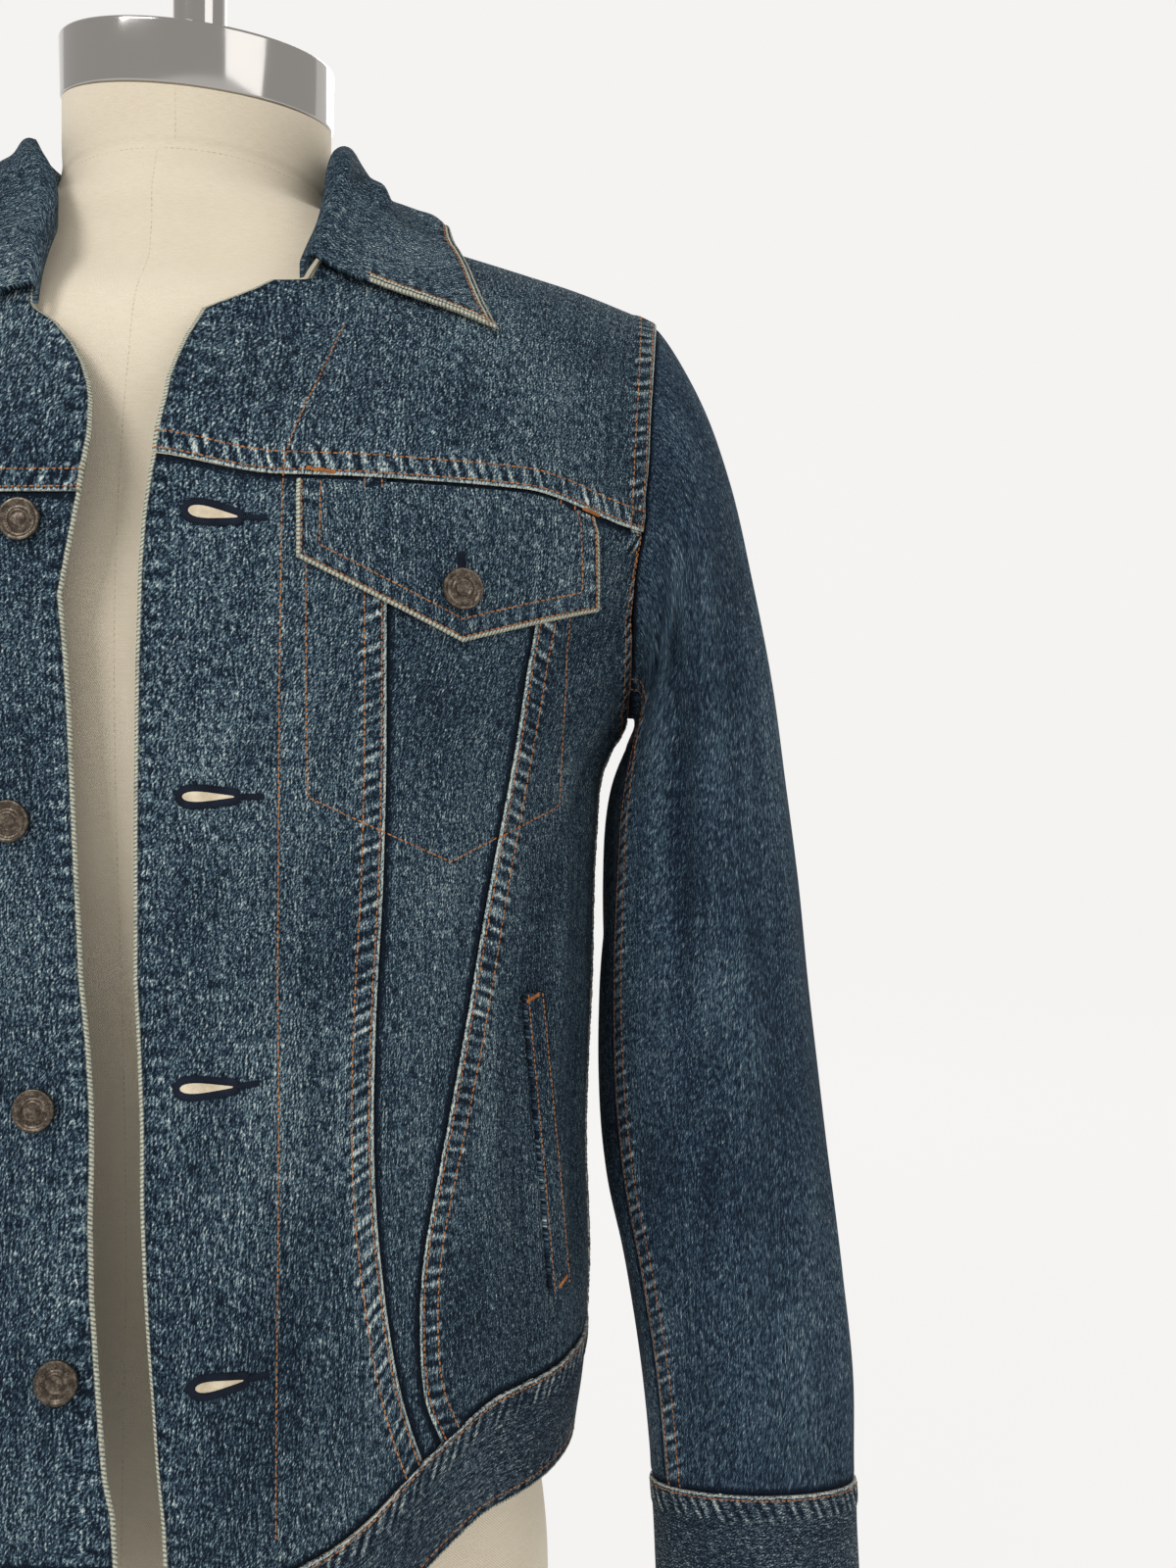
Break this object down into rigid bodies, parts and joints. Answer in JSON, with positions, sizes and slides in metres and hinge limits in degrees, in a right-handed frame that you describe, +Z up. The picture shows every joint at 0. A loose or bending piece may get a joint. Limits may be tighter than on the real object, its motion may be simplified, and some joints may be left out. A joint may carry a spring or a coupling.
{
  "type": "denim jacket on a dress form",
  "caption": "Indigo denim trucker jacket worn open on a limbless canvas dress form, with flap pockets, V seams, long sleeves with cuffs, waistband, metal buttons and a chrome neck cap.",
  "frame": {"origin": "centre of the dress form's flat underside", "axes": "+Z up from the hem to the neck; the wearer faces -Y; +X is the wearer's left"},
  "size_m": [0.6426, 0.2867, 0.9483],
  "materials": {
    "denim": "worn indigo twill",
    "denim_band": "doubled indigo twill",
    "canvas": "cream twill, stretched smooth",
    "chrome": "polished",
    "button_metal": "antique pewter"
  },
  "bodies": {
    "root": {"front_yoke_left": "denim", "front_panel_left": "denim", "pocket_panel_left": "denim", "side_panel_left": "denim", "pocket_flap_left": "denim", "pocket_welt_left": "denim", "back_side_left": "denim", "sleeve_outer_left": "denim", "sleeve_under_left": "denim", "cuff_left": "denim_band", "button_flap_left": "button_metal", "button_cuff_left": "button_metal", "front_yoke_right": "denim", "front_panel_right": "denim", "pocket_panel_right": "denim", "side_panel_right": "denim", "pocket_flap_right": "denim", "pocket_welt_right": "denim", "back_side_right": "denim", "sleeve_outer_right": "denim", "sleeve_under_right": "denim", "cuff_right": "denim_band", "button_flap_right": "button_metal", "button_cuff_right": "button_metal", "back_yoke": "denim", "back_centre": "denim", "collar": "denim", "waistband": "denim_band", "button_neck": "button_metal", "button_front_1": "button_metal", "button_front_2": "button_metal", "button_front_3": "button_metal", "button_front_4": "button_metal", "button_waistband": "button_metal", "form_torso": "canvas", "form_neck_cap": "chrome", "form_post": "chrome"}
  },
  "joints": []
}
